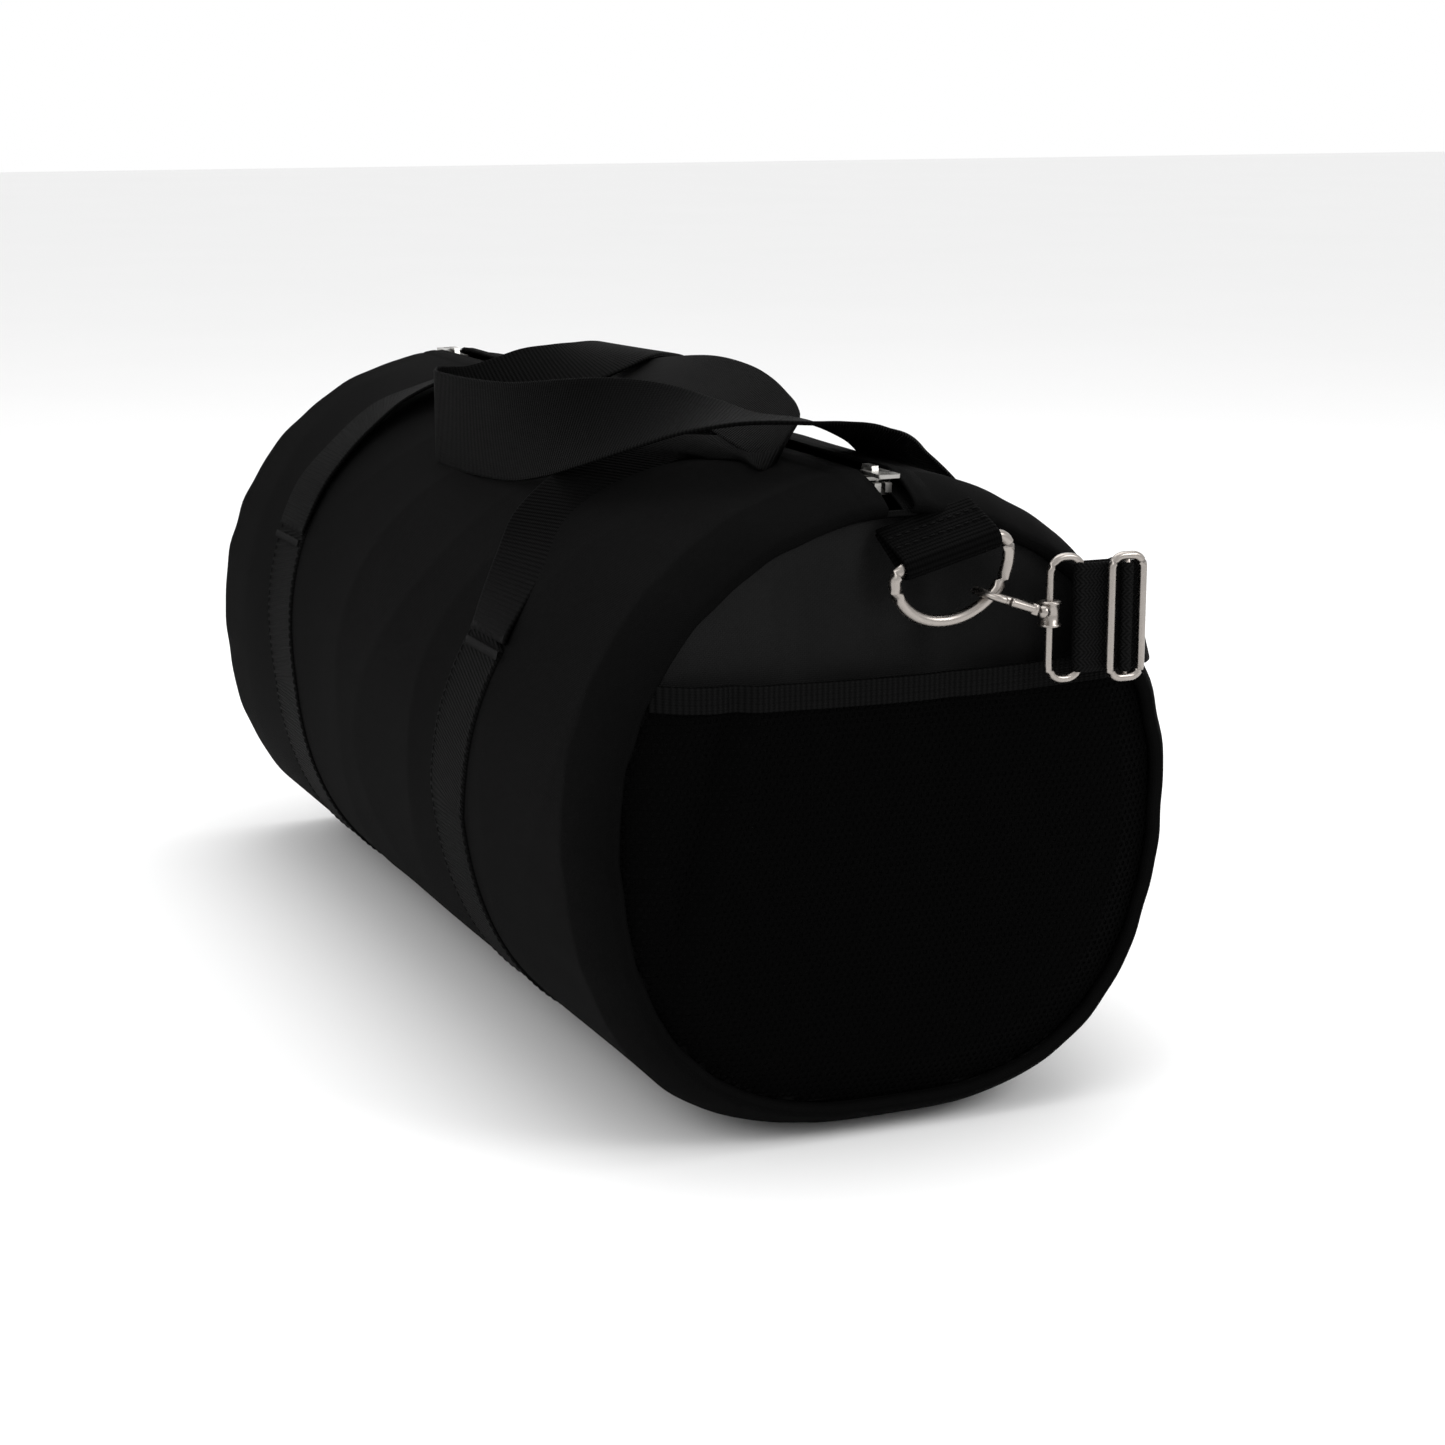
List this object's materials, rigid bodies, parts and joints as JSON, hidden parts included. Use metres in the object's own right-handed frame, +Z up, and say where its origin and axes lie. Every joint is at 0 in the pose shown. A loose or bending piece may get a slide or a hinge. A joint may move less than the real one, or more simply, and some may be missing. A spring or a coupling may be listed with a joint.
{
  "type": "duffel bag",
  "caption": "Soft barrel duffel bag with a lengthwise top zip, web carry handles, a mesh end pocket and a clip-on shoulder strap.",
  "frame": {"origin": "middle of the flat underside, on the surface the bag stands on", "axes": "+X along the bag towards the end with the mesh pocket, +Y towards its rear side, +Z up"},
  "size_m": [0.5734, 0.3216, 0.2634],
  "materials": {
    "body_fabric": "matt coated polyester",
    "end_fabric": "matt coated polyester",
    "trim_webbing": "ribbed binding",
    "mesh": "open knitted mesh",
    "webbing": "woven polypropylene webbing",
    "strap_webbing": "herringbone webbing",
    "zip_tape": "woven tape",
    "zip_coil": "nylon coil",
    "zip_metal": "nickel plated",
    "hardware": "nickel plated wire and castings"
  },
  "bodies": {
    "root": {"body_panel": "body_fabric", "end_panel_right": "end_fabric", "end_panel_left": "end_fabric", "seam_binding_right": "trim_webbing", "seam_binding_left": "trim_webbing", "pocket_trim": "trim_webbing", "mesh_pocket": "mesh", "webbing_run_right": "webbing", "webbing_run_left": "webbing", "d_ring_tab_right": "webbing", "d_ring_tab_left": "webbing", "shoulder_strap": "strap_webbing", "zip_tape_front": "zip_tape", "zip_tape_rear": "zip_tape", "zip_teeth_front": "zip_coil", "zip_teeth_rear": "zip_coil", "zip_stops": "zip_metal"},
    "zip_slider_right": {"zip_slider_right": "zip_metal"},
    "zip_slider_left": {"zip_slider_left": "zip_metal"},
    "zip_pull_right": {"zip_pull_right": "zip_metal"},
    "zip_pull_left": {"zip_pull_left": "zip_metal"},
    "handle_front": {"handle_front": "webbing"},
    "handle_rear": {"handle_rear": "webbing"},
    "d_ring_right": {"d_ring_right": "hardware"},
    "d_ring_left": {"d_ring_left": "hardware"},
    "strap_eye_right": {"strap_eye_right": "hardware"},
    "strap_eye_left": {"strap_eye_left": "hardware"},
    "snap_hook_right": {"snap_hook_right": "hardware"},
    "snap_hook_left": {"snap_hook_left": "hardware"},
    "hook_gate_right": {"hook_gate_right": "hardware"},
    "hook_gate_left": {"hook_gate_left": "hardware"},
    "strap_adjuster": {"strap_adjuster": "hardware", "strap_end_fold": "strap_webbing"}
  },
  "joints": [
    {"name": "zip_right_slide", "type": "slide", "parent": "root", "child": "zip_slider_right", "axis": [-1, 0, 0], "range_m": [0, 0.2]},
    {"name": "zip_right_pull_lift", "type": "hinge", "parent": "zip_slider_right", "child": "zip_pull_right", "pos_m": [0.23, 0, 0.23035], "axis": [0, -1, 0], "range_deg": [0, 170]},
    {"name": "d_ring_right_swing", "type": "hinge", "parent": "root", "child": "d_ring_right", "pos_m": [0.267, 0.012, 0.207], "axis": [0, -0.9659, -0.2588], "range_deg": [-4, 8]},
    {"name": "strap_eye_right_turn", "type": "hinge", "parent": "root", "child": "strap_eye_right", "pos_m": [0.265, 0.064, 0.181], "axis": [0, 0, 1], "range_deg": [0, 2.5]},
    {"name": "snap_hook_right_swivel", "type": "hinge", "parent": "strap_eye_right", "child": "snap_hook_right", "pos_m": [0.265, 0.0515, 0.183], "axis": [0, 0, 1], "range_deg": [-1, 4]},
    {"name": "hook_gate_right_open", "type": "hinge", "parent": "snap_hook_right", "child": "hook_gate_right", "pos_m": [0.2735, 0.04394, 0.1856], "axis": [0, -0.3256, -0.9455], "range_deg": [0, 16], "stiffness_Nm_per_rad": 0.02, "springref_deg": -17.19},
    {"name": "zip_left_slide", "type": "slide", "parent": "root", "child": "zip_slider_left", "axis": [1, 0, 0], "range_m": [0, 0.2]},
    {"name": "zip_left_pull_lift", "type": "hinge", "parent": "zip_slider_left", "child": "zip_pull_left", "pos_m": [-0.23, 0, 0.23035], "axis": [0, 1, 0], "range_deg": [0, 170]},
    {"name": "d_ring_left_swing", "type": "hinge", "parent": "root", "child": "d_ring_left", "pos_m": [-0.267, 0.012, 0.207], "axis": [0, 0.9659, 0.2588], "range_deg": [-4, 8]},
    {"name": "strap_eye_left_turn", "type": "hinge", "parent": "root", "child": "strap_eye_left", "pos_m": [-0.265, 0.064, 0.181], "axis": [0, 0, -1], "range_deg": [0, 2.5]},
    {"name": "snap_hook_left_swivel", "type": "hinge", "parent": "strap_eye_left", "child": "snap_hook_left", "pos_m": [-0.265, 0.0515, 0.183], "axis": [0, 0, -1], "range_deg": [-1, 4]},
    {"name": "hook_gate_left_open", "type": "hinge", "parent": "snap_hook_left", "child": "hook_gate_left", "pos_m": [-0.2735, 0.04394, 0.1856], "axis": [0, 0.3256, 0.9455], "range_deg": [0, 16], "stiffness_Nm_per_rad": 0.02, "springref_deg": -17.19},
    {"name": "handle_rear_lift", "type": "hinge", "parent": "root", "child": "handle_rear", "pos_m": [0, 0.1043, 0.167], "axis": [-1, 0, 0], "range_deg": [0, 120]},
    {"name": "handle_front_lift", "type": "hinge", "parent": "root", "child": "handle_front", "pos_m": [0, -0.1043, 0.167], "axis": [1, 0, 0], "range_deg": [0, 72]},
    {"name": "adjuster_slide", "type": "slide", "parent": "root", "child": "strap_adjuster", "axis": [0, 1, 0], "range_m": [0, 0.008]}
  ],
  "couplings": [
    {"joint": "handle_front_lift", "follows": "handle_rear_lift", "ratio": 0.6}
  ]
}
